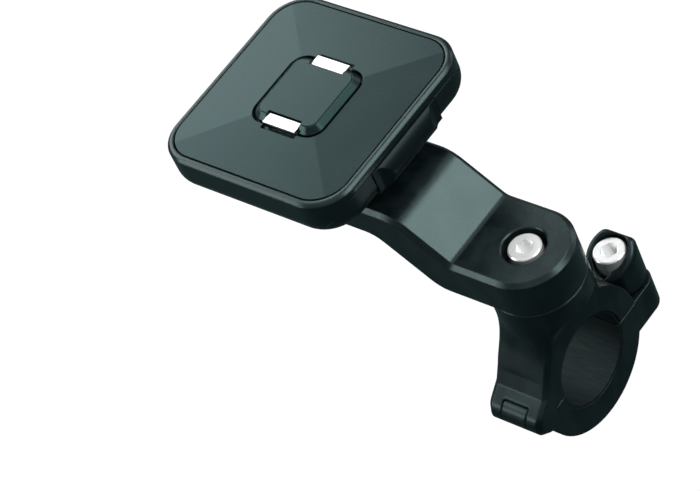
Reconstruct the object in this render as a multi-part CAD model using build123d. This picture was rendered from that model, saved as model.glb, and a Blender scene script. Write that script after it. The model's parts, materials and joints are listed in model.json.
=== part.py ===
from build123d import *
from math import acos, atan2, cos, pi, radians, sin, sqrt, tan
import os

os.makedirs("parts", exist_ok=True)

# A phone mount that clamps round a bar. Sizes are in millimetres.
# The origin is the middle of the bore, on its axis. +X runs along the bar,
# +Z points up along the swivel bolt, and +Y points away from the open side.

# Bore and its liners
bar_d = 25.4
liner_wall = 0.8
liner_width = 16.4
liner_over = 0.6
liner_short = 0.4

# Clamp jaws
upper_width = 17.2
lower_width = 16.6
upper_ring_r = 20.4
front_wall = 3.4
lower_ring_r = 20.9
lower_ring_drop = 0.6
split_top = 0.4
split_low = -0.8

# Hinge at the front of the jaws
hinge_y = -21.1
hinge_z = -1.1
knuckle_r = 4.1
knuckle_gap = 0.3
knuckle_half = 3.9
knuckle_side_gap = 0.25
pin_d = 3.0
pin_length = 15.4
pin_fit = 0.06

# Boss that carries the swivel, and the leg below it
boss_r = 13.5
boss_y = 1.0
boss_top = 29.9
boss_edge = 0.35
flare_top = 24.0
flare_r = 6.0
leg_curve_r = 15.6
leg_lean = 33.0
leg_join_z = 9.0
toe_z = 5.2
leg_edge = 1.2
leg_edge_drop = 1.3
leg_bow_low = 0.05

# Screw lugs at the rear of the jaws
lug_y = 26.2
lug_r = 7.4
lug_back = 32.0
lug_back_round = 2.0
lug_mid_z = 11.3
lug_slope = 28.0
lug_round = 1.7
notch_low = 5.9
notch_back = 2.3
low_lug_half = 8.0
low_lug_back = 32.2
low_lug_front = 12.0
low_lug_corner = 4.6
low_lug_bottom = -11.7
low_lug_round = 1.6
seat_r = 5.3

# Clamp screw, washer and captive nut
screw_head_r = 4.65
screw_head_h = 5.0
screw_edge = 0.35
screw_r = 2.5
screw_core_r = 2.1
screw_core_length = 6.0
screw_hole_r = 2.8
low_hole_r = 2.9
screw_seat_z = 6.7
screw_tip_z = -6.6
socket_flats = 4.5
socket_depth = 2.6
washer_h = 0.8
washer_r = 5.0
washer_hole_r = 2.65
nut_flats = 8.0
nut_h = 4.0
nut_edge = 0.4
nut_bore_r = 2.6
nut_top_z = -3.6
nut_clearance = 0.15

# Swivel
disc_h = 0.5
disc_r = 13.0
swivel_head_sink = 0.4
swivel_head_h = 4.6
swivel_hole_fit = 0.1
swivel_nut_depth = 8.9
swivel_nut_h = 3.5
swivel_tip_past = 3.6
pad_seat_r = 6.1
pad_seat_lip = 0.4
pad_washer_r = 5.7

# Arm
arm_half = 13.5
arm_reach = 58.8
pad_h = 11.6
arm_rise = 12.0
arm_far_h = 9.7
crease_x = -15.0
top_bend_x = -29.3
low_bend_x = -22.0
high_bend_x = -38.9
crease_r = 2.5
top_bend_r = 12.0
low_bend_r = 9.0
arm_edge = 1.3

# Head: rim, wall and rear shell
head_half = 30.95
head_corner = 11.0
head_h = 12.8
rim_drop = 0.9
rim_in = 0.9
strip_half = 29.05
strip_corner = 9.2
wall = 2.0
part_low_rise = 3.3
part_high_drop = 2.8
part_bend_x = 20.26
part_bend_r = 11.5
part_end_x = 30.7
part_gap = 0.15
neck_h = 9.0
shell_round = 6.0
shell_floor = 2.0
shell_inner_edge = 3.6
floor_drop = 1.6
floor_h = 2.0
neck_r = 12.5

# Face panel and lock post
panel_gap = 0.4
panel_rise = 0.6
panel_notch_side = 0.3
panel_notch_out = 1.25
panel_notch_drop = 0.35
post_half = 11.4
post_corner = 4.1
post_wall_half = 11.2
post_wall_corner = 3.9
post_rise = 2.15
post_bevel_h = 1.65
post_lip = 0.15
post_land = 10.0
post_line = 0.22
post_line_depth = 0.25
post_gap = 1.0

# Latches and their cam
latch_half = 5.5
latch_in = 9.05
latch_out = 12.3
latch_drop = 0.55
latch_cap_h = 0.75
latch_leg_half = 4.5
latch_leg_in = 9.4
latch_leg_out = 10.8
latch_travel = 0.9
latch_skin = 0.4
latch_slot_in = 8.65
latch_clear = 0.25
foot_drop = 5.6
foot_h = 1.6
foot_half = 3.0
foot_in = 3.2
cam_y = 4.6
cam_pin_r = 1.0
cam_clear = 0.2
guide_wall = 1.6
guide_in = 8.3
guide_out = 13.0
guide_drop = 0.2

# Release slide and button
button_travel = 2.4
slide_drop = 3.8
slide_h = 1.6
slide_half = 6.8
slide_clear = 0.25
slide_back = -14.0
slide_tab = 1.6
slide_tab_half = 3.2
slide_tab_drop = 7.3
rail_front = 13.0
rail_back = 22.0
rail_wall = 1.4
button_half = 13.6
button_flat = 8.6
button_ramp = 11.4
button_face = 33.0
button_end = 31.05
button_bend_r = 3.0
button_h = 7.35
button_bulge_rise = 3.7
button_low_x = 31.9
button_round = 1.1
button_in = 26.6
button_gap = 0.25
button_tongue = 3.4

# Return spring behind the slide
spring_r = 2.1
wire_half = 0.28
spring_drop = 1.1
spring_stop_x = -24.6
spring_stop = 1.8
spring_turns = 5
spigot_r = 1.4
spigot_length = 1.6

# Small screws in the head
small_head_r = 1.9
small_head_h = 1.4
small_r = 1.0
small_flats = 1.5
small_socket = 0.8
small_edge = 0.2
small_fit = 0.2
post_screw_at = 9.2
post_screw_length = 4.4
post_hole_depth = 2.6
shell_screw_at = 20.5
shell_boss_r = 3.4
shell_screw_rise = 1.7
shell_screw_length = 7.7
neck_screw_ring = 7.2
neck_head_r = 3.4
neck_head_h = 3.0
neck_flats = 3.0
neck_socket = 1.8
neck_edge = 0.3
neck_sink = 0.4
neck_screw_r = 2.0
neck_screw_length = 14.0
neck_hole_short = 0.5

# Heights that follow from the ones below them, from the boss up to the post
arm_bottom = boss_top + disc_h
pad_top = arm_bottom + pad_h
arm_top = pad_top + arm_rise
arm_far_bottom = arm_top - arm_far_h
swivel_head_top = pad_top - swivel_head_sink
swivel_nut_top = boss_top - swivel_nut_depth
swivel_tip_z = swivel_nut_top - swivel_tip_past
shell_bottom = arm_top + neck_h
neck_hole_top = shell_bottom - neck_hole_short
shell_screw_z = shell_bottom + shell_screw_rise
head_top = shell_bottom + head_h
part_low_z = shell_bottom + part_low_rise
part_high_z = head_top - part_high_drop
floor_top = head_top - floor_drop
foot_low = floor_top - foot_drop
slide_low = floor_top - slide_drop
slide_tab_low = floor_top - slide_tab_drop
spring_z = slide_low - spring_drop
button_top = part_high_z - part_gap
button_low = button_top - button_h
button_bulge_z = button_low + button_bulge_rise
panel_notch_z = head_top - panel_notch_drop
post_top = head_top + post_rise
post_shoulder = post_top - post_bevel_h
latch_top = post_top - latch_drop

# Values that follow from the ones above
bore_r = bar_d / 2
seat_bore_r = bore_r + liner_wall
upper_half = upper_width / 2
lower_half = lower_width / 2
washer_z = screw_seat_z - washer_h
pad_seat_z = swivel_head_top - swivel_head_h - washer_h
panel_half = strip_half - panel_gap
floor_low = floor_top - floor_h
neck_seat_z = arm_far_bottom + neck_head_h + neck_sink
hx = -arm_reach
hy = boss_y
head = Pos(hx, hy, 0)


# Straight prisms from a flat outline, along one axis
def along_x(outline, x0, x1):
    return extrude(Plane.YZ.offset(x0) * outline, amount=x1 - x0, dir=(1, 0, 0))


def along_y(outline, y0, y1):
    return extrude(Plane.XZ.offset(-y0) * outline, amount=y1 - y0, dir=(0, 1, 0))


def along_z(outline, z0, z1):
    return extrude(Plane.XY.offset(z0) * outline, amount=z1 - z0, dir=(0, 0, 1))


def block(x0, x1, y0, y1, z0, z1):
    return Pos((x0 + x1) / 2, (y0 + y1) / 2, (z0 + z1) / 2) * Box(x1 - x0, y1 - y0, z1 - z0)


def rod_z(x, y, z0, z1, r):
    return Pos(x, y, (z0 + z1) / 2) * Cylinder(r, z1 - z0)


def rod_x(y, z, x0, x1, r):
    return Pos((x0 + x1) / 2, y, z) * Rot(0, 90, 0) * Cylinder(r, x1 - x0)


def hexagon(flats):
    return RegularPolygon(flats / sqrt(3), 6)


def square(half, corner):
    return RectangleRounded(2 * half, 2 * half, corner)


# The same thing on the front side (-1) or turned to the rear side (1)
def on_side(side, shape):
    return shape if side > 0 else Rot(0, 0, 180) * shape


def corner_spots(at):
    return [(x * at, y * at) for x in (-1, 1) for y in (-1, 1)]


# A socket-head screw with its bearing face at z = 0 and its shank pointing down
def socket_screw(head_r, head_h, shank_r, length, flats, depth, edge):
    cap = rod_z(0, 0, 0, head_h, head_r)
    cap = chamfer(cap.edges().filter_by(GeomType.CIRCLE).sort_by(Axis.Z)[-1], edge)
    shank = rod_z(0, 0, -length, 0, shank_r)
    key = along_z(hexagon(flats), head_h - depth, head_h)
    return cap + shank - key


def hex_nut(flats, height, hole_r):
    body = along_z(hexagon(flats), 0, height)
    cone = Pos(0, 0, height / 2) * Cylinder(flats / sqrt(3) - nut_edge / 2, height)
    cone = chamfer(cone.edges().filter_by(GeomType.CIRCLE), nut_edge)
    return (body & cone) - rod_z(0, 0, 0, height, hole_r)


def build_washer(outer_r):
    return rod_z(0, 0, 0, washer_h, outer_r) - rod_z(0, 0, 0, washer_h, washer_hole_r)


# The leg's front edge starts upright under the boss, bends forwards and then
# runs straight down to the toe
def leg_edge_y(z):
    edge_x = upper_half - leg_edge
    top_y = boss_y - sqrt(boss_r**2 - edge_x**2)
    lean = radians(leg_lean)
    bend_low = flare_top - leg_curve_r * sin(lean)
    if z > bend_low:
        return top_y - leg_curve_r + sqrt(leg_curve_r**2 - (flare_top - z) ** 2)
    return top_y - leg_curve_r * (1 - cos(lean)) - (bend_low - z) * tan(lean)


# One level section of the leg: its front bows like the boss at the top and is
# nearly straight at the foot, and both front edges are cut off
def leg_section(z):
    share = (flare_top - z) / (flare_top - leg_join_z)
    edge_x = upper_half - leg_edge
    bow_top = boss_r - sqrt(boss_r**2 - edge_x**2)
    drop_top = boss_r - bow_top - sqrt(boss_r**2 - upper_half**2)
    bow = bow_top * (1 - share) + leg_bow_low * share
    drop = drop_top * (1 - share) + leg_edge_drop * share
    edge_y = leg_edge_y(z)
    side_y = edge_y + drop
    back_y = boss_y - boss_r / 2
    outline = ThreePointArc((-edge_x, edge_y), (0, edge_y - bow), (edge_x, edge_y)) + Polyline(
        (edge_x, edge_y),
        (upper_half, side_y),
        (upper_half, back_y),
        (-upper_half, back_y),
        (-upper_half, side_y),
        (-edge_x, edge_y),
    )
    return Plane.XY.offset(z) * make_face(outline)


# The toe runs on from the leg, straight down and then tangent to the knuckle
def build_toe():
    toe_y = leg_edge_y(toe_z)
    reach = sqrt((toe_y - hinge_y) ** 2 + (toe_z - hinge_z) ** 2)
    touch = atan2(toe_z - hinge_z, toe_y - hinge_y) + acos(knuckle_r / reach)
    side = make_face(
        Polyline(
            (leg_edge_y(leg_join_z), leg_join_z),
            (-seat_bore_r, leg_join_z),
            (-seat_bore_r, split_top),
            (hinge_y, hinge_z),
            (hinge_y + knuckle_r * cos(touch), hinge_z + knuckle_r * sin(touch)),
            (toe_y, toe_z),
            close=True,
        )
    )
    side = side + Pos(hinge_y, hinge_z) * Circle(knuckle_r)
    edge_x = upper_half - leg_edge
    toe = along_x(side, -edge_x, edge_x)
    run = sqrt(leg_edge**2 + leg_edge_drop**2)
    for way in (-1, 1):
        flat = Plane.YZ.offset(way * edge_x) * side
        toe = toe + extrude(flat, amount=run, dir=(way * leg_edge / run, leg_edge_drop / run, 0))
    return toe & along_x(side, -upper_half, upper_half)


# What is cut off each side of the boss, so that it narrows to the jaw
def flare_cut(side):
    far = boss_r + flare_r
    centre_x = upper_half + flare_r
    turn = flare_r * sin(radians(45))
    low = flare_top - flare_r
    outline = Polyline(
        (side * centre_x, flare_top),
        (side * far, flare_top),
        (side * far, 0),
        (side * upper_half, 0),
        (side * upper_half, low),
    ) + ThreePointArc(
        (side * upper_half, low),
        (side * (centre_x - turn), low + turn),
        (side * centre_x, flare_top),
    )
    return along_y(make_face(outline), boss_y - 2 * boss_r, boss_y + 2 * boss_r)


def build_upper_jaw():
    boss = rod_z(0, boss_y, split_top, boss_top, boss_r)
    boss = chamfer(boss.edges().filter_by(GeomType.CIRCLE).sort_by(Axis.Z)[-1], boss_edge)
    boss = boss - flare_cut(1) - flare_cut(-1)
    levels = [leg_join_z, 13.0, 17.0, 20.5, flare_top]
    leg = loft([leg_section(z) for z in levels])
    ring = rod_x(0, 0, -upper_half, upper_half, upper_ring_r)
    ring = ring & block(-upper_half, upper_half, 0, 2 * upper_ring_r, split_top, 2 * upper_ring_r)
    front_r = seat_bore_r + front_wall
    front = rod_x(0, 0, -upper_half, upper_half, front_r)
    front = front & block(-upper_half, upper_half, -front_r, 0, split_top, front_r)
    jaw = boss + leg + build_toe() + ring + front + build_upper_lug()
    jaw = jaw - rod_x(0, 0, -boss_r, boss_r, seat_bore_r)
    slot_half = knuckle_half + knuckle_side_gap
    slot = rod_x(hinge_y, hinge_z, -slot_half, slot_half, knuckle_r + knuckle_gap)
    below = hinge_z - 2 * knuckle_r
    open_front = block(-slot_half, slot_half, hinge_y - 2 * knuckle_r, hinge_y, below, hinge_z)
    jaw = jaw - slot - open_front
    jaw = jaw - rod_x(hinge_y, hinge_z, -pin_length / 2, pin_length / 2, pin_d / 2)
    jaw = jaw - rod_z(0, boss_y, 0, boss_top, screw_r + swivel_hole_fit)
    pocket = Pos(0, boss_y, 0) * along_z(hexagon(nut_flats + nut_clearance), 0, swivel_nut_top)
    jaw = jaw - pocket
    jaw = jaw - rod_z(0, lug_y, 0, lug_mid_z, screw_hole_r)
    jaw = jaw - rod_z(0, lug_y, washer_z, lug_mid_z + 2 * lug_r, seat_r)
    return jaw - lug_notch()


# The rear lug is a round post with a rounded top that slopes to the front
def build_upper_lug():
    flat_back = lug_back - lug_y
    plan = Circle(lug_r) - Pos(0, flat_back + lug_r) * Rectangle(2 * lug_r, 2 * lug_r)
    plan = fillet(plan.vertices(), lug_back_round)
    lug = Pos(0, lug_y, 0) * along_z(plan, split_top, lug_mid_z + lug_r)
    rise = tan(radians(lug_slope))
    reach = 2 * lug_r
    cut = Polyline(
        (lug_y - reach, lug_mid_z - reach * rise),
        (lug_y + reach, lug_mid_z + reach * rise),
        (lug_y + reach, lug_mid_z + 2 * reach),
        (lug_y - reach, lug_mid_z + 2 * reach),
        close=True,
    )
    lug = lug - along_x(make_face(cut), -reach, reach)
    rim = lug.faces().filter_by(lambda f: 0.5 < f.normal_at().Z < 0.99).edges()
    return fillet(rim, lug_round)


# A notch in the front of the lug's rim, which bares the screw's head
def lug_notch():
    outline = Polyline(
        (0, notch_low), (lug_r, notch_low + lug_r), (-lug_r, notch_low + lug_r), close=True
    )
    return along_y(make_face(outline), lug_y - lug_r, lug_y - notch_back)


def build_lower_jaw():
    ring = rod_x(0, -lower_ring_drop, -lower_half, lower_half, lower_ring_r)
    reach = 2 * lower_ring_r
    ring = ring & block(-lower_half, lower_half, -reach, reach, -reach, split_low)
    depth = low_lug_back - low_lug_front
    plan = RectangleRounded(2 * low_lug_half, depth, low_lug_corner)
    lug = Pos(0, low_lug_front + depth / 2, 0) * along_z(plan, low_lug_bottom, split_low)
    lug = fillet(lug.edges().group_by(Axis.Z)[0], low_lug_round)
    jaw = ring + lug
    outer = knuckle_r + knuckle_gap
    near = knuckle_half - knuckle_side_gap / 2
    for x0, x1 in ((near, upper_width), (-upper_width, -near)):
        jaw = jaw - rod_x(hinge_y, hinge_z, x0, x1, outer)
    knuckle = rod_x(hinge_y, hinge_z, -knuckle_half, knuckle_half, knuckle_r)
    web = block(-knuckle_half, knuckle_half, hinge_y, -seat_bore_r, hinge_z - knuckle_r, split_low)
    jaw = jaw + knuckle + web
    jaw = jaw - rod_x(0, 0, -boss_r, boss_r, seat_bore_r)
    jaw = jaw - rod_x(hinge_y, hinge_z, -lower_half, lower_half, pin_d / 2 + pin_fit)
    jaw = jaw - rod_z(0, lug_y, low_lug_bottom, split_low, low_hole_r)
    pocket = along_z(hexagon(nut_flats + nut_clearance), low_lug_bottom, nut_top_z)
    return jaw - Pos(0, lug_y, 0) * pocket


def build_liner(side):
    half = liner_width / 2
    ring = rod_x(0, 0, -half, half, seat_bore_r) - rod_x(0, 0, -half, half, bore_r)
    reach = 2 * seat_bore_r
    if side > 0:
        return ring & block(-half, half, -reach, reach, split_top - liner_over, reach)
    return ring & block(-half, half, -reach, reach, -reach, split_low - liner_short)


def build_clamp_screw():
    length = screw_seat_z - screw_tip_z
    body = socket_screw(
        screw_head_r, screw_head_h, screw_r, length, socket_flats, socket_depth, screw_edge
    )
    sleeve = rod_z(0, 0, -length, screw_core_length - length, 2 * screw_r)
    sleeve = sleeve - rod_z(0, 0, -length, screw_core_length - length, screw_core_r)
    return Pos(0, lug_y, screw_seat_z) * (body - sleeve)


def build_swivel_bolt():
    seat = swivel_head_top - swivel_head_h
    length = seat - swivel_tip_z
    bolt = socket_screw(
        screw_head_r, swivel_head_h, screw_r, length, socket_flats, socket_depth, screw_edge
    )
    return Pos(0, boss_y, seat) * bolt


def build_disc():
    disc = rod_z(0, boss_y, boss_top, boss_top + disc_h, disc_r)
    return disc - rod_z(0, boss_y, boss_top, boss_top + disc_h, screw_r + swivel_hole_fit)


# The corner of a flat outline nearest to a place, rounded
def round_corner(outline, x, y, r):
    return fillet([outline.vertices().sort_by_distance((x, y, 0))[0]], r)


def build_arm():
    front_x = arm_half + arm_edge
    back_x = hx - arm_half - arm_edge
    side = make_face(
        Polyline(
            (front_x, pad_top),
            (crease_x, pad_top),
            (top_bend_x, arm_top),
            (back_x, arm_top),
            (back_x, arm_far_bottom),
            (high_bend_x, arm_far_bottom),
            (low_bend_x, arm_bottom),
            (front_x, arm_bottom),
            close=True,
        )
    )
    side = round_corner(side, crease_x, pad_top, crease_r)
    side = round_corner(side, top_bend_x, arm_top, top_bend_r)
    side = round_corner(side, high_bend_x, arm_far_bottom, low_bend_r)
    side = round_corner(side, low_bend_x, arm_bottom, low_bend_r)
    arm = along_y(side, hy - arm_half, hy + arm_half)
    plan = Pos(-arm_reach / 2, hy) * SlotCenterToCenter(arm_reach, 2 * arm_half)
    arm = arm & along_z(plan, arm_bottom, arm_top)
    arm = chamfer([e for e in arm.edges() if is_top_rim(e)], arm_edge)
    arm = arm - rod_z(0, hy, arm_bottom, pad_top, screw_r + swivel_hole_fit)
    arm = arm - rod_z(0, hy, pad_seat_z, pad_top + 1, pad_seat_r)
    circles = arm.edges().filter_by(GeomType.CIRCLE)
    level = circles.filter_by(lambda e: abs(e.center().Z - pad_top) < 0.01)
    arm = chamfer(level.filter_by(lambda e: abs(e.radius - pad_seat_r) < 0.01), pad_seat_lip)
    for x, y in neck_screw_spots():
        arm = arm - rod_z(x, y, arm_far_bottom, arm_top, neck_screw_r + small_fit)
        arm = arm - rod_z(x, y, arm_far_bottom, neck_seat_z, neck_head_r + small_fit)
    return arm


# The top rim's edges run along both sides and round both ends, well above the
# arm's lower surface
def is_top_rim(edge):
    middle = edge.position_at(0.5)
    share = (low_bend_x - middle.X) / (low_bend_x - high_bend_x)
    low = arm_bottom + (arm_far_bottom - arm_bottom) * min(max(share, 0), 1)
    high = middle.Z > low + 0.6 * (pad_top - arm_bottom)
    at_end = middle.X > 0 or middle.X < hx
    at_side = abs(abs(middle.Y - hy) - arm_half) < 0.01
    return high and (at_end or at_side)


def neck_screw_spots():
    turns = [radians(a) for a in (60, 180, 300)]
    return [(hx + neck_screw_ring * cos(a), hy + neck_screw_ring * sin(a)) for a in turns]


def build_neck_screws():
    screw = socket_screw(
        neck_head_r, neck_head_h, neck_screw_r, neck_screw_length, neck_flats, neck_socket, neck_edge
    )
    screw = Rot(180, 0, 0) * screw
    return [Pos(x, y, neck_seat_z) * screw for x, y in neck_screw_spots()]


# The head's outer form, before it is parted into frame and rear shell
def head_form():
    form = along_z(square(head_half, head_corner), shell_bottom, head_top)
    top = form.faces().sort_by(Axis.Z)[-1]
    form = chamfer(top.edges(), rim_in, rim_drop, reference=top)
    low = form.faces().sort_by(Axis.Z)[0]
    return fillet(low.edges(), shell_round)


# Everything above the parting line, raised or lowered by a gap. The line is low
# round the head and sweeps up to the rim at the button's side
def above_parting(gap):
    far = 2 * head_half
    low = part_low_z + gap
    high = part_high_z + gap
    start = -pi / 2
    finish = atan2(part_high_z - part_low_z - part_bend_r, part_end_x - part_bend_x)
    middle = (start + finish) / 2
    bend_z = low + part_bend_r
    bend = ThreePointArc(
        (part_bend_x, low),
        (part_bend_x + part_bend_r * cos(middle), bend_z + part_bend_r * sin(middle)),
        (part_bend_x + part_bend_r * cos(finish), bend_z + part_bend_r * sin(finish)),
    )
    end = bend @ 1
    rest = Polyline(
        (end.X, end.Y),
        (far, high),
        (far, 2 * head_top),
        (-far, 2 * head_top),
        (-far, low),
        (part_bend_x, low),
    )
    return along_y(make_face(bend + rest), -far, far)


# Guide ribs keep each latch leg straight, rails carry the slide, and a stop holds
# the spring's end
def frame_ribs():
    ribs = []
    x0 = latch_leg_half + latch_clear
    y0 = slide_half + slide_clear
    for side in (-1, 1):
        guide = block(x0, x0 + guide_wall, guide_in, guide_out, foot_low - guide_drop, floor_low)
        mirror_guide = mirror(guide, Plane.YZ)
        ribs.append(on_side(side, guide))
        ribs.append(on_side(side, mirror_guide))
    rail = block(rail_front, rail_back, y0, y0 + rail_wall, slide_low - slide_clear, floor_low)
    ribs.append(rail)
    ribs.append(mirror(rail, Plane.XZ))
    stop_back = spring_stop_x - spring_stop
    half = slide_tab_half
    ribs.append(block(stop_back, spring_stop_x, -half, half, slide_tab_low, floor_low))
    ribs.append(rod_x(0, spring_z, spring_stop_x, spring_stop_x + spigot_length, spigot_r))
    return ribs


def build_head_frame():
    frame = head_form() & above_parting(part_gap / 2)
    frame = frame - along_z(square(strip_half, strip_corner), floor_top, head_top + 1)
    cavity = square(head_half - wall, head_corner - wall)
    frame = frame - along_z(cavity, shell_bottom, floor_low)
    for rib in frame_ribs():
        frame = frame + rib
    for x, y in corner_spots(shell_screw_at):
        frame = frame + rod_z(x, y, part_low_z + part_gap, floor_low, shell_boss_r)
        frame = frame - rod_z(x, y, part_low_z, floor_low + neck_sink, small_r)
    y0 = latch_leg_in - latch_travel - latch_clear
    y1 = latch_leg_out + latch_clear
    half = latch_leg_half + latch_clear
    slot = block(-half, half, y0, y1, floor_low, floor_top)
    frame = frame - on_side(1, slot) - on_side(-1, slot)
    for x, y in corner_spots(post_screw_at):
        frame = frame - rod_z(x, y, floor_low, floor_top, small_r + small_fit / 2)
    return head * (frame - button_room())


# A hipped roof over the panel: four flat facets that rise towards the post
def roof_side():
    slope = panel_rise / (panel_half - post_half)
    half = post_wall_half - 1
    high_z = head_top + slope * (panel_half - half)
    return make_face(
        Polyline(
            (-panel_half, floor_top),
            (-panel_half, head_top),
            (-half, high_z),
            (half, high_z),
            (panel_half, head_top),
            (panel_half, floor_top),
            close=True,
        )
    )


def build_face_panel():
    plan = square(panel_half, strip_corner - panel_gap)
    panel = along_z(plan, floor_top, post_top)
    panel = panel & along_x(roof_side(), -panel_half, panel_half)
    panel = panel & along_y(roof_side(), -panel_half, panel_half)
    opening = square(post_wall_half + post_gap, post_wall_corner + post_gap)
    panel = panel - along_z(opening, floor_top, post_top)
    half = latch_half + panel_notch_side
    notch = block(-half, half, 0, latch_out + panel_notch_out, panel_notch_z, post_top)
    return head * (panel - on_side(1, notch) - on_side(-1, notch))


def build_lock_post():
    under_crown = post_shoulder - post_lip
    body = along_z(square(post_wall_half, post_wall_corner), floor_top, under_crown)
    crown = along_z(square(post_half, post_corner), under_crown, post_top)
    top = crown.faces().sort_by(Axis.Z)[-1]
    inset = post_half - post_land
    crown = chamfer(top.edges(), inset, post_top - post_shoulder, reference=top)
    line_half = post_land - post_line / 2
    line_corner = post_corner - inset
    line = square(line_half, line_corner)
    line = line - square(line_half - post_line, line_corner - post_line)
    post = body + crown - along_z(line, post_top - post_line_depth, post_top)
    half = latch_half + latch_clear
    far = 2 * post_half
    back = latch_in - latch_travel - latch_clear
    under = block(-half, half, back, far, floor_low, post_top - latch_skin)
    room = under + block(-half, half, latch_slot_in, far, floor_low, post_top)
    post = post - on_side(1, room) - on_side(-1, room)
    for x, y in corner_spots(post_screw_at):
        post = post - rod_z(x, y, floor_top, floor_top + post_hole_depth, small_r)
    return head * post


# One sprung latch: a bright cap, a leg through the floor and a foot with a pin
def build_latch(side):
    half = latch_leg_half
    cap = block(-latch_half, latch_half, latch_in, latch_out, latch_top - latch_cap_h, latch_top)
    leg = block(-half, half, latch_leg_in, latch_leg_out, foot_low, latch_top - latch_cap_h / 2)
    foot = block(-foot_half, foot_half, foot_in, latch_leg_out, foot_low, foot_low + foot_h)
    pin = rod_z(0, cam_y, foot_low, slide_low + slide_h, cam_pin_r)
    return head * on_side(side, cap + leg + foot + pin)


# The slide's cam slots draw both latch pins inwards as the slide moves in
def cam_slot(side):
    finish = (button_travel, side * (cam_y - latch_travel))
    middle = (button_travel / 2, side * (cam_y - latch_travel / 2))
    slot = SlotCenterPoint(middle, finish, 2 * (cam_pin_r + cam_clear))
    return along_z(slot, slide_low, slide_low + slide_h)


def build_release_slide():
    high = slide_low + slide_h
    front = button_in + button_tongue
    plate = block(slide_back, front, -slide_half, slide_half, slide_low, high)
    tab_front = slide_back + slide_tab
    half = slide_tab_half
    tab = block(slide_back, tab_front, -half, half, slide_tab_low, high)
    spigot = rod_x(0, spring_z, slide_back - spigot_length, slide_back, spigot_r)
    slide = plate + tab + spigot
    return head * (slide - cam_slot(1) - cam_slot(-1))


# The button's plan: a flat middle that falls back to the wall at both ends
def button_plan():
    plan = make_face(
        Polyline(
            (button_in, -button_half),
            (button_end, -button_half),
            (button_end, -button_ramp),
            (button_face, -button_flat),
            (button_face, button_flat),
            (button_end, button_ramp),
            (button_end, button_half),
            (button_in, button_half),
            close=True,
        )
    )
    for y in (-1, 1):
        plan = round_corner(plan, button_end, y * button_ramp, button_bend_r)
        plan = round_corner(plan, button_face, y * button_flat, button_bend_r)
    return plan


# The button bulges between its top, which is flush with the wall, and its lower edge
def button_side():
    bulge = ThreePointArc(
        (button_end, button_top), (button_face, button_bulge_z), (button_low_x, button_low)
    )
    rest = Polyline(
        (button_low_x, button_low),
        (button_in, button_low),
        (button_in, button_top),
        (button_end, button_top),
    )
    return round_corner(make_face(bulge + rest), button_low_x, button_low, button_round)


def build_release_button():
    button = along_z(button_plan(), button_low, button_top)
    button = button & along_y(button_side(), -button_half, button_half)
    back = button_in + button_tongue
    high = slide_low + slide_h
    slot = block(button_in, back, -slide_half, slide_half, slide_low, high)
    return head * (button - slot)


# Clear space for the button in the wall, through its whole travel
def button_room():
    half = button_half + button_gap
    back = button_in - button_travel - button_gap
    return block(back, 2 * head_half, -half, half, button_low - button_gap, part_high_z + part_gap / 2)


def build_rear_shell():
    floor_z = shell_bottom + shell_floor
    shell = head_form() - above_parting(-part_gap / 2)
    cavity = along_z(square(head_half - wall, head_corner - wall), floor_z, head_top)
    low = cavity.faces().sort_by(Axis.Z)[0]
    shell = shell - chamfer(low.edges(), shell_inner_edge)
    shell = shell + rod_z(0, 0, arm_top, floor_z, neck_r)
    for x, y in neck_screw_spots():
        shell = shell - rod_z(x - hx, y - hy, arm_top, neck_hole_top, neck_screw_r)
    for x, y in corner_spots(shell_screw_at):
        shell = shell + rod_z(x, y, shell_bottom + 1, part_low_z - part_gap / 2, shell_boss_r)
        shell = shell - rod_z(x, y, shell_bottom, part_low_z, small_r + small_fit)
        shell = shell - rod_z(x, y, shell_bottom, shell_screw_z, small_head_r + small_fit)
    for side in (-1, 1):
        y1 = latch_leg_out
        rest = block(-latch_leg_half, latch_leg_half, y1 - guide_wall, y1, floor_z - 1, foot_low)
        shell = shell + on_side(side, rest)
    rail = block(rail_front, rail_back, 0, rail_wall, floor_z - 1, slide_low)
    offset = slide_half - rail_wall
    shell = shell + Pos(0, offset, 0) * rail + Pos(0, -slide_half, 0) * rail
    return head * (shell - button_room())


# Square wire wound between the frame's stop and the slide's tab
def build_return_spring():
    length = slide_back - spring_stop_x - 2 * wire_half
    coil = Helix(length / spring_turns, length, spring_r)
    start = Plane(origin=coil @ 0, x_dir=(1, 0, 0), z_dir=coil % 0)
    wire = sweep(start * Rectangle(2 * wire_half, 2 * wire_half), path=coil, is_frenet=True)
    return head * Pos(spring_stop_x + wire_half, 0, spring_z) * Rot(0, 90, 0) * wire


def build_small_screws(spots, seat_z, length):
    screw = socket_screw(
        small_head_r, small_head_h, small_r, length, small_flats, small_socket, small_edge
    )
    screw = Rot(180, 0, 0) * screw
    return [head * Pos(x, y, seat_z) * screw for x, y in spots]


# Writes one named piece, or several like pieces under one name
def save(name, *shapes):
    solids = [solid for shape in shapes for solid in shape.solids()]
    export_step(Compound(children=solids), os.path.join("parts", name + ".step"))


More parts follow.
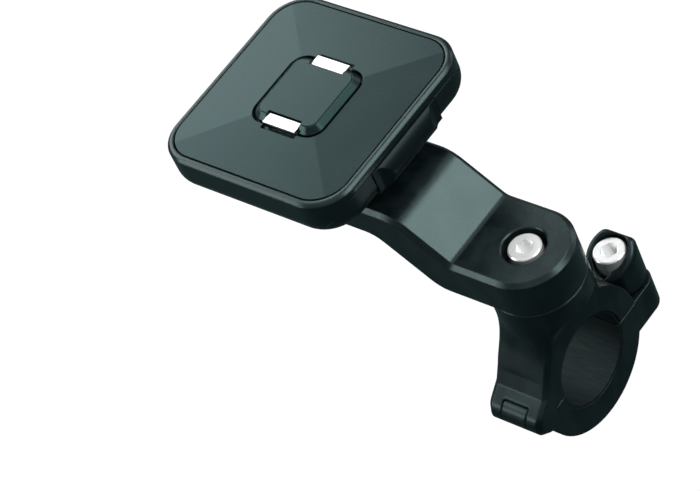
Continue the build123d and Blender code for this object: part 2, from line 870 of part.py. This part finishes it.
def main():
    save("upper_jaw", build_upper_jaw())
    save("lower_jaw", build_lower_jaw())
    save("upper_liner", build_liner(1))
    save("lower_liner", build_liner(-1))
    save("hinge_pin", rod_x(hinge_y, hinge_z, -pin_length / 2, pin_length / 2, pin_d / 2))
    save("clamp_screw", build_clamp_screw())
    save("clamp_washer", Pos(0, lug_y, washer_z) * build_washer(washer_r))
    clamp_nut = hex_nut(nut_flats, nut_h, nut_bore_r)
    save("clamp_nut", Pos(0, lug_y, nut_top_z - nut_h) * clamp_nut)
    save("friction_disc", build_disc())
    save("swivel_bolt", build_swivel_bolt())
    save("swivel_washer", Pos(0, boss_y, pad_seat_z) * build_washer(pad_washer_r))
    swivel_nut = hex_nut(nut_flats, swivel_nut_h, screw_r)
    save("swivel_nut", Pos(0, boss_y, swivel_nut_top - swivel_nut_h) * swivel_nut)
    save("arm", build_arm())
    save("neck_screws", *build_neck_screws())
    save("head_frame", build_head_frame())
    save("rear_shell", build_rear_shell())
    save("face_panel", build_face_panel())
    save("lock_post", build_lock_post())
    save("latch_front", build_latch(-1))
    save("latch_rear", build_latch(1))
    save("release_slide", build_release_slide())
    save("release_button", build_release_button())
    save("return_spring", build_return_spring())
    save("post_screws", *build_small_screws(corner_spots(post_screw_at), floor_low, post_screw_length))
    shell_spots = corner_spots(shell_screw_at)
    save("shell_screws", *build_small_screws(shell_spots, shell_screw_z, shell_screw_length))


main()
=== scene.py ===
import json
import math

import bpy
from mathutils import Matrix, Vector


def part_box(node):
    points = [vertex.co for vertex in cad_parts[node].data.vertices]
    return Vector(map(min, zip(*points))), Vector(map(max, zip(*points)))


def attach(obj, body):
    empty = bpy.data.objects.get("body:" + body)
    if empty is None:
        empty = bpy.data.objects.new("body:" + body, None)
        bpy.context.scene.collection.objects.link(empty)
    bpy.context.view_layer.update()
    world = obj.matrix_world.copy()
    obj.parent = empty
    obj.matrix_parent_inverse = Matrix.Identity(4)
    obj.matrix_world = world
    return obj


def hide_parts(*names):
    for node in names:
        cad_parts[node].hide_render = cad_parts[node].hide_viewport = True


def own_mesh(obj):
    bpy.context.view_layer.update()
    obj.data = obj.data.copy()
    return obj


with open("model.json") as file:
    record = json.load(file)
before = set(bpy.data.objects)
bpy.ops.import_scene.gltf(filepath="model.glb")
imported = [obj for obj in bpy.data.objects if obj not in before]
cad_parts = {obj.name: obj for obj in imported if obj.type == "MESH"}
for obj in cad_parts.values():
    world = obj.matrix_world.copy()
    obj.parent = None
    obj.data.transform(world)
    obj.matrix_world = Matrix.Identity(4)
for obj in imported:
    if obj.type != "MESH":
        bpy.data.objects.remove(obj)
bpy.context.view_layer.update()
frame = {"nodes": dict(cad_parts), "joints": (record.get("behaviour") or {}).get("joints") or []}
nodes = frame["nodes"]
print("frame loaded:", len(nodes), "nodes")


# one end of a shader link, so that node maths reads like plain maths
class Wire:
    def __init__(self, tree, socket=None):
        self.tree = tree
        self.socket = socket

    # any node: its type, its settings first, then values or wires by socket name
    def node(self, kind, settings=None, stops=None, out=0, **sockets):
        made = self.tree.nodes.new(kind)
        for name, value in (settings or {}).items():
            setattr(made, name, value)
        if stops:
            ramp = made.color_ramp
            while len(ramp.elements) < len(stops):
                ramp.elements.new(1)
            for element, (at, colour) in zip(ramp.elements, stops):
                element.position = at
                element.color = colour
        for name, value in sockets.items():
            self.feed(made.inputs[socketIndex(made, name)], value)
        return Wire(self.tree, made.outputs[out])

    def feed(self, socket, value):
        if isinstance(value, Wire):
            self.tree.links.new(value.socket, socket)
        else:
            socket.default_value = value

    def sum(self, operation, a, b):
        return self.node("ShaderNodeMath", {"operation": operation}, in0=a, in1=b)

    def __add__(self, other):
        return self.sum("ADD", self, other)

    def __sub__(self, other):
        return self.sum("SUBTRACT", self, other)

    def __rsub__(self, other):
        return self.sum("SUBTRACT", other, self)

    def __mul__(self, other):
        return self.sum("MULTIPLY", self, other)

    __radd__ = __add__
    __rmul__ = __mul__

    # a colour that goes from one to another as this value goes from 0 to 1
    def blend(self, colour, other):
        mix = {"data_type": "RGBA", "clamp_factor": True}
        return self.node("ShaderNodeMix", mix, out=2, in0=self, in6=colour, in7=other)

    # this value rescaled so that low gives 0 and high gives 1
    def ramp(self, low, high):
        return self.node("ShaderNodeMapRange", in0=self, in1=low, in2=high, in3=0.0, in4=1.0)

    # this value as a swing about nothing, as wide as amount
    def swing(self, amount):
        return (self - 0.5) * amount


# in0, in1 name a socket by its place, anything else by its own name
def socketIndex(made, name):
    if name[:2] == "in" and name[2:].isdigit():
        return int(name[2:])
    wanted = name.replace("_", " ").lower()
    for index, socket in enumerate(made.inputs):
        if socket.name.lower() == wanted and socket.enabled:
            return index
    raise KeyError(f"{made.bl_idname} has no socket {name}")


def newMaterial(name):
    material = bpy.data.materials.new(name)
    material.use_nodes = True
    tree = material.node_tree
    return material, tree.nodes["Principled BSDF"], Wire(tree)


# sets constants on the shader's own sockets
def fixed(shader, **values):
    for name, value in values.items():
        shader.inputs[socketIndex(shader, name)].default_value = value


# what varies over a surface: its colour, its roughness and its normal
def painted(w, shader, colour, roughness, normal):
    w.feed(shader.inputs["Base Color"], colour)
    w.feed(shader.inputs["Roughness"], roughness)
    w.feed(shader.inputs["Normal"], normal)


# a point on the object in millimetres, stretched along its axes if asked
def place(w, stretch=(1, 1, 1)):
    point = w.node("ShaderNodeTexCoord", out=3)
    factors = tuple(1000.0 * s for s in stretch)
    return w.node("ShaderNodeVectorMath", {"operation": "MULTIPLY"}, in0=point, in1=factors)


# noise whose grains are about as large as size, in millimetres
def noise(w, at, size, detail=2.0, rough=0.5):
    return w.node(
        "ShaderNodeTexNoise", vector=at, scale=1 / size, detail=detail, roughness=rough
    )


# the surface normal with every edge softened over a radius in millimetres
def softEdges(w, radius):
    return w.node("ShaderNodeBevel", {"samples": 8}, radius=radius / 1000)


# 1 along the edges and 0 on open faces
def edgeMask(w, radius):
    soft = softEdges(w, radius)
    flat = w.node("ShaderNodeNewGeometry", out=1)
    same = w.node("ShaderNodeVectorMath", {"operation": "DOT_PRODUCT"}, out=1, in0=soft, in1=flat)
    return (1 - same).ramp(0.02, 0.22)


def bump(w, height, strength, depth, normal):
    return w.node(
        "ShaderNodeBump", strength=strength, distance=depth / 1000, height=height, normal=normal
    )


# black anodised aluminium: blasted grain under a thin hard skin, rubbed paler on its edges
anodising = {
    "colour": (0.0035, 0.0070, 0.0080, 1),
    "uneven": (0.010, 0.017, 0.018, 1),
    "rubbed": (0.040, 0.052, 0.054, 1),
    "tint": (0.70, 1.0, 1.0, 1),
    "grain": 0.12,  # mm, as are all sizes of noise and edges
    "grainDepth": 0.004,
    "grainStrength": 0.18,
    "cloud": 7.0,
    "cloudStretch": (1, 1, 0.6),
    "cloudEnds": (0.42, 0.68),
    "patch": 1.6,
    "patchEnds": (0.46, 0.68),
    "wear": 0.45,
    "wearEdge": 0.5,
    "swings": {"cloud": 0.16, "grain": 0.05, "worn": 0.08},  # of the roughness
}
jawFinish = {"roughness": 0.30, "edge": 0.8, "level": 0.36}
armFinish = {"roughness": 0.27, "edge": 0.4, "level": 0.52}


def anodised(name, finish):
    a = anodising
    material, shader, w = newMaterial(name)
    at = place(w)
    grain = noise(w, at, a["grain"], detail=4.0, rough=0.65)
    cloud = noise(w, place(w, a["cloudStretch"]), a["cloud"])
    dyed = cloud.ramp(*a["cloudEnds"]).blend(a["colour"], a["uneven"])
    patches = noise(w, at, a["patch"], detail=4.0, rough=0.7).ramp(*a["patchEnds"])
    worn = edgeMask(w, a["wearEdge"]) * patches * a["wear"]
    swings = a["swings"]
    roughness = finish["roughness"] + cloud.swing(swings["cloud"]) + grain.swing(swings["grain"])
    soft = softEdges(w, finish["edge"])
    painted(
        w,
        shader,
        worn.blend(dyed, a["rubbed"]),
        roughness + worn * swings["worn"],
        bump(w, grain, a["grainStrength"], a["grainDepth"], soft),
    )
    fixed(shader, specular_tint=a["tint"], specular_ior_level=finish["level"])
    return material


# black moulded plastic, satin to gloss, with the fine texture of its mould
moulding = {
    "colour": (0.0055, 0.0098, 0.0108, 1),
    "polished": (0.016, 0.022, 0.023, 1),
    "grain": 0.18,
    "grainDepth": 0.004,
    "flow": 11.0,
    "patch": 2.2,
    "patchEnds": (0.42, 0.7),
    "wear": 0.5,
    "wearEdge": 1.3,  # times the softened edge
    "swings": {"flow": 0.05, "grain": 0.04, "worn": 0.05},
}
satinTint = (0.70, 1.0, 1.0, 1)
glossTint = (0.5, 1.0, 1.0, 1)
frameFinish = {"roughness": 0.26, "grain": 0.12, "edge": 0.8, "tint": satinTint, "level": 0.5}
postFinish = {"roughness": 0.26, "grain": 0.05, "edge": 0.25, "tint": glossTint, "level": 0.38}
shellFinish = {"roughness": 0.36, "grain": 0.25, "edge": 0.4, "tint": satinTint, "level": 0.38}
buttonFinish = {"roughness": 0.36, "grain": 0.3, "edge": 0.5, "tint": satinTint, "level": 0.18}


def moulded(name, finish):
    m = moulding
    material, shader, w = newMaterial(name)
    at = place(w)
    grain = noise(w, at, m["grain"], detail=3.0, rough=0.6)
    flow = noise(w, at, m["flow"])
    patches = noise(w, at, m["patch"], detail=3.0, rough=0.6).ramp(*m["patchEnds"])
    worn = edgeMask(w, finish["edge"] * m["wearEdge"]) * patches * m["wear"]
    swings = m["swings"]
    roughness = finish["roughness"] + flow.swing(swings["flow"]) + grain.swing(swings["grain"])
    painted(
        w,
        shader,
        worn.blend(m["colour"], m["polished"]),
        roughness - worn * swings["worn"],
        bump(w, grain, finish["grain"], m["grainDepth"], softEdges(w, finish["edge"])),
    )
    fixed(shader, specular_tint=finish["tint"], specular_ior_level=finish["level"])
    return material


# the smooth face panel: faint orange peel and a few hairlines from wiping
faceGloss = {
    "colour": (0.0060, 0.0105, 0.0115, 1),
    "dust": (0.0100, 0.0145, 0.0155, 1),
    "roughness": 0.27,
    "level": 0.37,
    "peel": 3.0,
    "peelDepth": 0.012,
    "peelStrength": 0.008,
    "hair": 1.3,
    "hairStretch": (0.3, 7, 1),
    "smear": 14.0,
    "smearEnds": (0.45, 0.8),
    "swings": {"hair": 0.012, "smear": 0.05},
    "edge": 0.2,
}


def glossFace(name):
    g = faceGloss
    material, shader, w = newMaterial(name)
    peel = noise(w, place(w), g["peel"], rough=0.4)
    hair = noise(w, place(w, g["hairStretch"]), g["hair"], detail=3.0)
    smear = noise(w, place(w), g["smear"], detail=1.0, rough=0.4)
    swings = g["swings"]
    painted(
        w,
        shader,
        smear.ramp(*g["smearEnds"]).blend(g["colour"], g["dust"]),
        g["roughness"] + hair.swing(swings["hair"]) + smear.swing(swings["smear"]),
        bump(w, peel, g["peelStrength"], g["peelDepth"], softEdges(w, g["edge"])),
    )
    fixed(shader, specular_tint=glossTint, specular_ior_level=g["level"])
    return material


# bright screws: turned rings on the head, round the centre given; the swivel bolt and clamp screw
# have their own, the other steel parts share the head frame's
screwHeads = {
    "colour": (0.95, 0.96, 0.96, 1),
    "shade": (0.80, 0.82, 0.83, 1),
    "metallic": 0.6,
    "roughness": 0.24,
    "ring": 0.22,
    "ringDepth": 0.004,
    "ringStrength": 0.1,
    "fine": 0.4,
    "grime": 2.4,
    "grimeEnds": (0.5, 0.85),
    "swings": {"fine": 0.1, "rings": 0.08},
    "edge": 0.2,
}


def turnedSteel(name, centre):
    s = screwHeads
    material, shader, w = newMaterial(name)
    point = w.node("ShaderNodeTexCoord", out=3)
    shifted = w.node("ShaderNodeVectorMath", {"operation": "SUBTRACT"}, in0=point, in1=centre)
    inPlan = (1000, 1000, 0)  # millimetres, with the height left out
    flat = w.node("ShaderNodeVectorMath", {"operation": "MULTIPLY"}, in0=shifted, in1=inPlan)
    radius = w.node("ShaderNodeVectorMath", {"operation": "LENGTH"}, out=1, in0=flat)
    oneWay = {"noise_dimensions": "1D"}
    rings = w.node("ShaderNodeTexNoise", oneWay, w=radius, scale=1 / s["ring"])
    fine = noise(w, place(w), s["fine"], detail=3.0)
    grime = noise(w, place(w), s["grime"], detail=3.0, rough=0.6).ramp(*s["grimeEnds"])
    swings = s["swings"]
    painted(
        w,
        shader,
        grime.blend(s["colour"], s["shade"]),
        s["roughness"] + fine.swing(swings["fine"]) + rings.swing(swings["rings"]),
        bump(w, rings, s["ringStrength"], s["ringDepth"], softEdges(w, s["edge"])),
    )
    fixed(shader, metallic=s["metallic"])
    return material


# oxide-black washer
washerSkin = {
    "colour": (0.012, 0.014, 0.015, 1),
    "spot": (0.05, 0.05, 0.05, 1),
    "metallic": 0.6,
    "roughness": 0.42,
    "swing": 0.15,
    "fine": 0.3,
    "fineDepth": 0.005,
    "fineStrength": 0.2,
    "spots": 1.1,
    "spotEnds": (0.55, 0.75),
    "edge": 0.15,
}


def blackWasher(name):
    b = washerSkin
    material, shader, w = newMaterial(name)
    fine = noise(w, place(w), b["fine"], detail=3.0)
    spots = noise(w, place(w), b["spots"], detail=3.0, rough=0.7).ramp(*b["spotEnds"])
    painted(
        w,
        shader,
        spots.blend(b["colour"], b["spot"]),
        b["roughness"] + fine.swing(b["swing"]),
        bump(w, fine, b["fineStrength"], b["fineDepth"], softEdges(w, b["edge"])),
    )
    fixed(shader, metallic=b["metallic"])
    return material


# stamped steel latch, brushed along its length
latchFace = {
    "colour": (0.86, 0.87, 0.87, 1),
    "dull": (0.74, 0.75, 0.76, 1),
    "roughness": 0.3,
    "swing": 0.18,
    "stroke": 1.0,
    "strokeStretch": (0.16, 7, 7),
    "strokeDepth": 0.005,
    "strokeStrength": 0.12,
    "rubbed": 3.0,
    "rubbedEnds": (0.5, 0.8),
    "edge": 0.18,
}


def brushedSteel(name):
    b = latchFace
    material, shader, w = newMaterial(name)
    strokes = noise(w, place(w, b["strokeStretch"]), b["stroke"], detail=3.0)
    rubbed = noise(w, place(w), b["rubbed"]).ramp(*b["rubbedEnds"])
    painted(
        w,
        shader,
        rubbed.blend(b["colour"], b["dull"]),
        b["roughness"] + strokes.swing(b["swing"]),
        bump(w, strokes, b["strokeStrength"], b["strokeDepth"], softEdges(w, b["edge"])),
    )
    fixed(shader, metallic=1.0)
    return material


# bore liner: soft black rubber, dusty where use has polished it
linerSkin = {
    "colour": (0.005, 0.008, 0.009, 1),
    "dust": (0.012, 0.017, 0.018, 1),
    "tint": (0.7, 1.0, 1.0, 1),
    "level": 0.25,
    "roughness": 0.62,
    "grain": 0.35,
    "grainDepth": 0.015,
    "grainStrength": 0.3,
    "drag": 1.2,
    "dragStretch": (0.2, 2, 2),
    "dragEnds": (0.4, 0.75),
    "swings": {"grain": 0.12, "drag": 0.1},
    "edge": 0.2,
}


def rubber(name):
    r = linerSkin
    material, shader, w = newMaterial(name)
    grain = noise(w, place(w), r["grain"], detail=3.0)
    drag = noise(w, place(w, r["dragStretch"]), r["drag"], detail=3.0).ramp(*r["dragEnds"])
    swings = r["swings"]
    painted(
        w,
        shader,
        drag.blend(r["colour"], r["dust"]),
        r["roughness"] + grain.swing(swings["grain"]) - drag * swings["drag"],
        bump(w, grain, r["grainStrength"], r["grainDepth"], softEdges(w, r["edge"])),
    )
    fixed(shader, specular_tint=r["tint"], specular_ior_level=r["level"])
    return material


# plain moulded nylon, pale for the friction disc and dark for the slide
nylonSkin = {
    "roughness": 0.45,
    "swing": 0.1,
    "grain": 0.5,
    "grainDepth": 0.01,
    "grainStrength": 0.2,
    "flow": 4.0,
    "flowEnds": (0.35, 0.7),
    "edge": 0.15,
}
discColours = ((0.50, 0.54, 0.54, 1), (0.42, 0.46, 0.46, 1))
slideColours = ((0.1, 0.1, 0.1, 1), (0.08, 0.08, 0.08, 1))


def nylon(name, colours):
    n = nylonSkin
    material, shader, w = newMaterial(name)
    grain = noise(w, place(w), n["grain"])
    flow = noise(w, place(w), n["flow"]).ramp(*n["flowEnds"])
    painted(
        w,
        shader,
        flow.blend(*colours),
        n["roughness"] + grain.swing(n["swing"]),
        bump(w, grain, n["grainStrength"], n["grainDepth"], softEdges(w, n["edge"])),
    )
    return material


# the centre of a node's box, in metres
def middle(name):
    low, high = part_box(name)
    return tuple((a + b) / 2 for a, b in zip(low, high))


jawSkin = anodised("jawAnodised", jawFinish)
linerRubber = rubber("linerRubber")
latchSteel = brushedSteel("latchSteel")
washerBlack = blackWasher("washerBlack")
plainSteel = turnedSteel("plainSteel", middle("head_frame"))
finishOf = {
    "upper_jaw": jawSkin,
    "lower_jaw": jawSkin,
    "arm": anodised("armAnodised", armFinish),
    "head_frame": moulded("framePlastic", frameFinish),
    "lock_post": moulded("postPlastic", postFinish),
    "rear_shell": moulded("shellPlastic", shellFinish),
    "release_button": moulded("buttonPlastic", buttonFinish),
    "face_panel": glossFace("panelGloss"),
    "upper_liner": linerRubber,
    "lower_liner": linerRubber,
    "friction_disc": nylon("discNylon", discColours),
    "release_slide": nylon("innerNylon", slideColours),
    "latch_front": latchSteel,
    "latch_rear": latchSteel,
    "swivel_bolt": turnedSteel("swivelSteel", middle("swivel_bolt")),
    "clamp_screw": turnedSteel("clampSteel", middle("clamp_screw")),
    "swivel_washer": washerBlack,
    "clamp_washer": washerBlack,
}
for name, node in nodes.items():
    node.data.materials.clear()
    node.data.materials.append(finishOf.get(name, plainSteel))
print("finishes on", len(nodes), "nodes")

# the return spring, which shortens as the button goes in, gets a mesh of its own; this script
# does not shorten it
spring = {
    "node": "return_spring",
    "body": "head_arm",
    "joint": "release_press",
    "slot": "screw_steel",
}


def makeSpring(s):
    low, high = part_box(s["node"])
    travel = next(j["range_m"][1] for j in frame["joints"] if j["name"] == s["joint"])
    coil = bpy.data.objects.new("returnSpring", nodes[s["node"]].data.copy())
    bpy.context.scene.collection.objects.link(coil)
    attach(coil, s["body"])
    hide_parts(s["node"])
    left = 1 - travel / (high.x - low.x)  # share of the length at full travel
    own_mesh(coil)


makeSpring(spring)
print("spring made")

view = {
    "place": (0.4205, -0.3180, 0.5874),
    "heading": 57.1,  # degrees, turned from +Y towards -X
    "elevation": 44.52,
    "roll": -26.7,
    "lens": 153.5,  # mm, on a sensor of the width below
    "sensor": 36,
    "clip": (0.01, 20),
}


def placeCamera(v):
    data = bpy.data.cameras.new("camera")
    camera = bpy.data.objects.new("camera", data)
    bpy.context.scene.collection.objects.link(camera)
    turn = Matrix.Rotation(math.radians(v["heading"]), 4, "Z")
    tilt = Matrix.Rotation(math.radians(90 - v["elevation"]), 4, "X")
    roll = Matrix.Rotation(math.radians(v["roll"]), 4, "Z")
    camera.matrix_world = Matrix.Translation(v["place"]) @ turn @ tilt @ roll
    data.lens = v["lens"]
    data.sensor_width = v["sensor"]
    data.clip_start, data.clip_end = v["clip"]
    bpy.context.scene.camera = camera


placeCamera(view)

# azimuth in degrees from +Y towards +X, distance and size in metres, level as radiance
softboxes = {
    "slopeBox": dict(azimuth=58, elevation=46, distance=0.8, size=(0.66, 0.34), level=5.3),
    "faceBox": dict(azimuth=-84, elevation=31, distance=0.8, size=(0.84, 0.46), level=3.6),
    "wallBox": dict(azimuth=-142, elevation=19, distance=0.9, size=(0.5, 0.22), level=5.0),
    "bandBox": dict(azimuth=-118, elevation=42, distance=0.8, size=(0.3, 0.3), level=3.4),
    "rimBox": dict(azimuth=18, elevation=10, distance=1.0, size=(0.7, 0.26), level=1.4),
    "lowBox": dict(azimuth=-140, elevation=-8, distance=0.9, size=(0.6, 0.2), level=0.6),
}
lampAim = Vector((-0.03, 0, 0.04))


def addSoftbox(name, s):
    data = bpy.data.lights.new(name, "AREA")
    data.shape = "RECTANGLE"
    data.size, data.size_y = s["size"]
    data.energy = s["level"] * math.pi * data.size * data.size_y
    lamp = bpy.data.objects.new(name, data)
    bpy.context.scene.collection.objects.link(lamp)
    azimuth = math.radians(s["azimuth"])
    elevation = math.radians(s["elevation"])
    east = math.sin(azimuth) * math.cos(elevation)
    north = math.cos(azimuth) * math.cos(elevation)
    away = Vector((east, north, math.sin(elevation)))
    lamp.location = lampAim + away * s["distance"]
    lamp.rotation_mode = "QUATERNION"
    lamp.rotation_quaternion = away.to_track_quat("Z", "Y")


for name, settings in softboxes.items():
    addSoftbox(name, settings)
print("camera and", len(softboxes), "softboxes placed")

# what the rays meet round the object; mirror is the share of white that reflections show
surroundings = {
    "below": 0.03,
    "level": 0.05,
    "raised": 0.1,
    "above": 0.9,
    "white": 1.0,
    "mirror": 0.04,
    "floorZ": -0.12,
    "floorHalf": 4.0,
    "floorPale": 0.86,
    "floorDim": (0.026, 0.056, 0.060, 1),
    "floorWhite": 0.82,
    "floorRoughness": 0.85,
    "speckle": 40.0,
    "speckleSwing": 0.05,
}


# how much of the white backdrop a ray sees: all of it from the camera, some in reflections
def backdropShare(w, mirror):
    toCamera = w.node("ShaderNodeLightPath", out=0)
    inGloss = w.node("ShaderNodeLightPath", out=3)
    throughGlass = w.node("ShaderNodeLightPath", out=6)
    return toCamera + (inGloss + throughGlass) * mirror


def grey(level):
    return (level, level, level, 1)


def paintWorld(s):
    world = bpy.data.worlds.new("studio")
    bpy.context.scene.world = world
    world.use_nodes = True
    w = Wire(world.node_tree)
    direction = w.node("ShaderNodeTexCoord", out=0)
    height = w.node("ShaderNodeSeparateXYZ", out=2, in0=direction)
    stops = [
        (0.0, grey(s["below"])),
        (0.5, grey(s["level"])),
        (0.72, grey(s["raised"])),
        (0.96, grey(s["above"])),
    ]
    dome = w.node("ShaderNodeValToRGB", stops=stops, in0=height * 0.5 + 0.5)
    shown = backdropShare(w, s["mirror"]).blend(dome, grey(s["white"]))
    w.feed(world.node_tree.nodes["Background"].inputs["Color"], shown)


# pale to the camera, dim to other rays, and clear from beneath
def paintFloor(s):
    material, shader, w = newMaterial("paleFloor")
    toCamera = w.node("ShaderNodeLightPath", out=0)
    speckle = noise(w, place(w), s["speckle"])
    floorColour = toCamera.blend(s["floorDim"], grey(s["floorPale"]))
    w.feed(shader.inputs["Base Color"], floorColour)
    w.feed(shader.inputs["Roughness"], s["floorRoughness"] + speckle.swing(s["speckleSwing"]))
    fixed(shader, specular_ior_level=0.0)
    matt = Wire(w.tree, shader.outputs[0])
    glow = w.node("ShaderNodeEmission", color=grey(s["white"]), strength=1.0)
    share = backdropShare(w, s["mirror"]) * s["floorWhite"]
    mixed = w.node("ShaderNodeMixShader", in0=share, in1=matt, in2=glow)
    underside = w.node("ShaderNodeNewGeometry", out=6)
    clear = w.node("ShaderNodeBsdfTransparent")
    oneSided = w.node("ShaderNodeMixShader", in0=underside, in1=mixed, in2=clear)
    w.feed(w.tree.nodes["Material Output"].inputs["Surface"], oneSided)
    return material


def layFloor(s):
    half = s["floorHalf"]
    corners = [(-half, -half, 0), (half, -half, 0), (half, half, 0), (-half, half, 0)]
    mesh = bpy.data.meshes.new("floor")
    mesh.from_pydata(corners, [], [(0, 1, 2, 3)])
    floor = bpy.data.objects.new("floor", mesh)
    bpy.context.scene.collection.objects.link(floor)
    floor.location.z = s["floorZ"]
    mesh.materials.append(paintFloor(s))


paintWorld(surroundings)
layFloor(surroundings)
bpy.context.scene.view_settings.view_transform = "Standard"
print("floor and world set")
